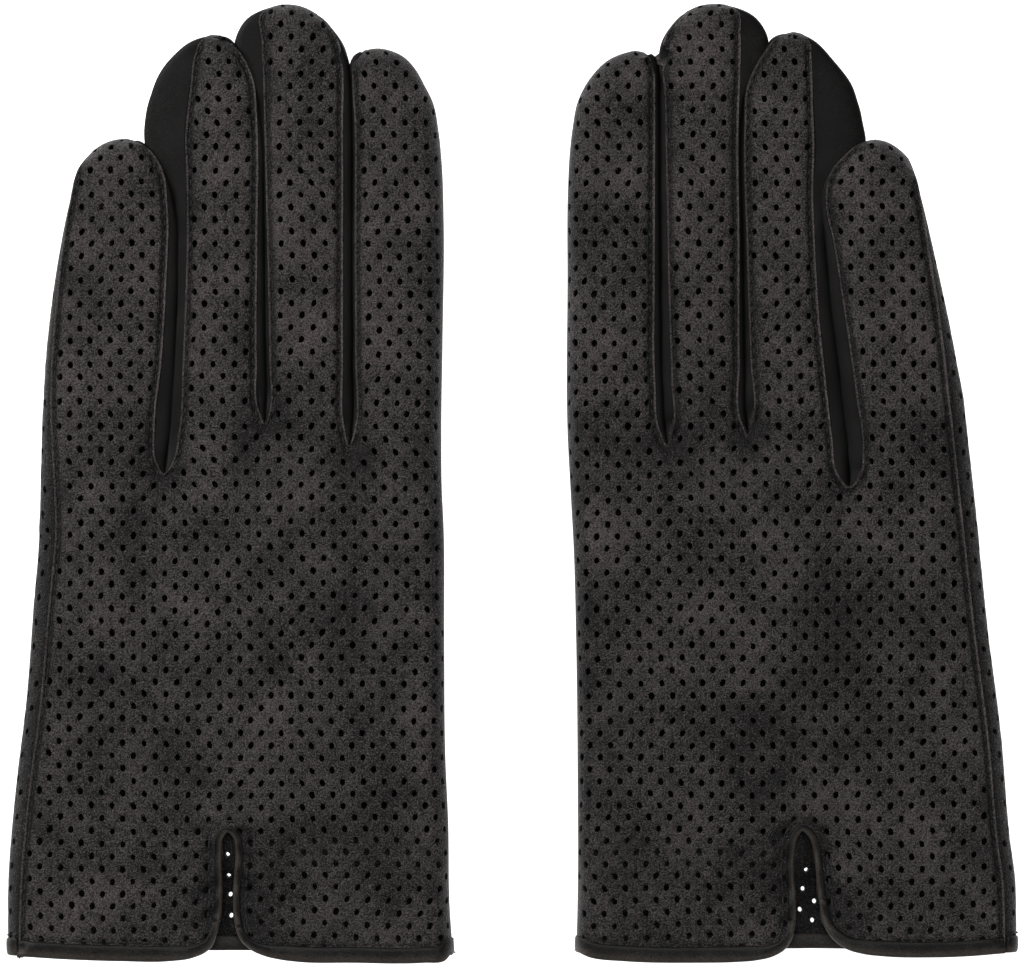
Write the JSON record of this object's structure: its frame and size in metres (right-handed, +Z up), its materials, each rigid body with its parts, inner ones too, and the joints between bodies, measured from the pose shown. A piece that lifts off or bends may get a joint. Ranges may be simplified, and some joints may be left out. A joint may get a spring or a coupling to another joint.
{
  "type": "leather driving gloves",
  "caption": "Pair of unlined perforated leather driving gloves with plain fourchettes, bound hems and a bound vent slit in the back of each cuff, lying flat with the thumbs folded under.",
  "frame": {"origin": "centre of the pair's footprint, on the surface that the gloves lie on", "axes": "+Z up, away from the surface; +Y towards the fingertips; +X from the left glove to the right glove"},
  "size_m": [0.254, 0.2394, 0.0163],
  "materials": {
    "perforated_leather": "fine pebbled grain, soft sheen, punched with small round holes",
    "plain_leather": "smooth, soft sheen",
    "binding_leather": "smooth folded edge",
    "thread": "matt twisted sewing thread"
  },
  "bodies": {
    "left_hand": {"left_hand_back": "perforated_leather", "left_hand_palm": "perforated_leather", "left_hem_binding": "binding_leather", "left_vent_binding": "binding_leather", "left_hem_thread": "thread", "left_vent_thread": "thread", "left_side_seam_thread": "thread", "left_thumb_seam_thread": "thread"},
    "left_index": {"left_index_back": "perforated_leather", "left_index_palm": "perforated_leather", "left_index_fourchette": "plain_leather", "left_index_thread": "thread"},
    "left_middle": {"left_middle_back": "perforated_leather", "left_middle_palm": "perforated_leather", "left_middle_index_fourchette": "plain_leather", "left_middle_ring_fourchette": "plain_leather", "left_middle_thread": "thread"},
    "left_ring": {"left_ring_back": "perforated_leather", "left_ring_palm": "perforated_leather", "left_ring_middle_fourchette": "plain_leather", "left_ring_little_fourchette": "plain_leather", "left_ring_thread": "thread"},
    "left_little": {"left_little_back": "perforated_leather", "left_little_palm": "perforated_leather", "left_little_fourchette": "plain_leather", "left_little_thread": "thread"},
    "left_thumb": {"left_thumb_top": "perforated_leather", "left_thumb_underside": "perforated_leather"},
    "right_hand": {"right_hand_back": "perforated_leather", "right_hand_palm": "perforated_leather", "right_hem_binding": "binding_leather", "right_vent_binding": "binding_leather", "right_hem_thread": "thread", "right_vent_thread": "thread", "right_side_seam_thread": "thread", "right_thumb_seam_thread": "thread"},
    "right_index": {"right_index_back": "perforated_leather", "right_index_palm": "perforated_leather", "right_index_fourchette": "plain_leather", "right_index_thread": "thread"},
    "right_middle": {"right_middle_back": "perforated_leather", "right_middle_palm": "perforated_leather", "right_middle_index_fourchette": "plain_leather", "right_middle_ring_fourchette": "plain_leather", "right_middle_thread": "thread"},
    "right_ring": {"right_ring_back": "perforated_leather", "right_ring_palm": "perforated_leather", "right_ring_middle_fourchette": "plain_leather", "right_ring_little_fourchette": "plain_leather", "right_ring_thread": "thread"},
    "right_little": {"right_little_back": "perforated_leather", "right_little_palm": "perforated_leather", "right_little_fourchette": "plain_leather", "right_little_thread": "thread"},
    "right_thumb": {"right_thumb_top": "perforated_leather", "right_thumb_underside": "perforated_leather"}
  },
  "joints": [
    {"name": "left_index_bend", "type": "hinge", "parent": "left_hand", "child": "left_index", "pos_m": [-0.0287, 0.0155, 0], "axis": [-1, 0, 0], "range_deg": [0, 75]},
    {"name": "left_middle_bend", "type": "hinge", "parent": "left_hand", "child": "left_middle", "pos_m": [-0.0511, 0.0155, 0], "axis": [-1, 0, 0], "range_deg": [0, 75]},
    {"name": "left_ring_bend", "type": "hinge", "parent": "left_hand", "child": "left_ring", "pos_m": [-0.073, 0.0155, 0], "axis": [-1, 0, 0], "range_deg": [0, 75]},
    {"name": "left_little_bend", "type": "hinge", "parent": "left_hand", "child": "left_little", "pos_m": [-0.1021, 0.0155, 0], "axis": [-1, 0, 0], "range_deg": [0, 75]},
    {"name": "left_thumb_swing", "type": "hinge", "parent": "left_hand", "child": "left_thumb", "pos_m": [-0.04, -0.072, 0.0035], "axis": [0, 0, -1], "range_deg": [0, 50]},
    {"name": "right_index_bend", "type": "hinge", "parent": "right_hand", "child": "right_index", "pos_m": [0.0257, 0.0155, 0], "axis": [-1, 0, 0], "range_deg": [0, 75]},
    {"name": "right_middle_bend", "type": "hinge", "parent": "right_hand", "child": "right_middle", "pos_m": [0.0482, 0.0155, 0], "axis": [-1, 0, 0], "range_deg": [0, 75]},
    {"name": "right_ring_bend", "type": "hinge", "parent": "right_hand", "child": "right_ring", "pos_m": [0.0706, 0.0155, 0], "axis": [-1, 0, 0], "range_deg": [0, 75]},
    {"name": "right_little_bend", "type": "hinge", "parent": "right_hand", "child": "right_little", "pos_m": [0.0993, 0.0155, 0], "axis": [-1, 0, 0], "range_deg": [0, 75]},
    {"name": "right_thumb_swing", "type": "hinge", "parent": "right_hand", "child": "right_thumb", "pos_m": [0.04, -0.072, 0.0035], "axis": [0, 0, 1], "range_deg": [0, 50]},
    {"name": "right_glove_lift", "type": "slide", "parent": "left_hand", "child": "right_hand", "axis": [0, 0, 1], "range_m": [0, 0.15]}
  ]
}
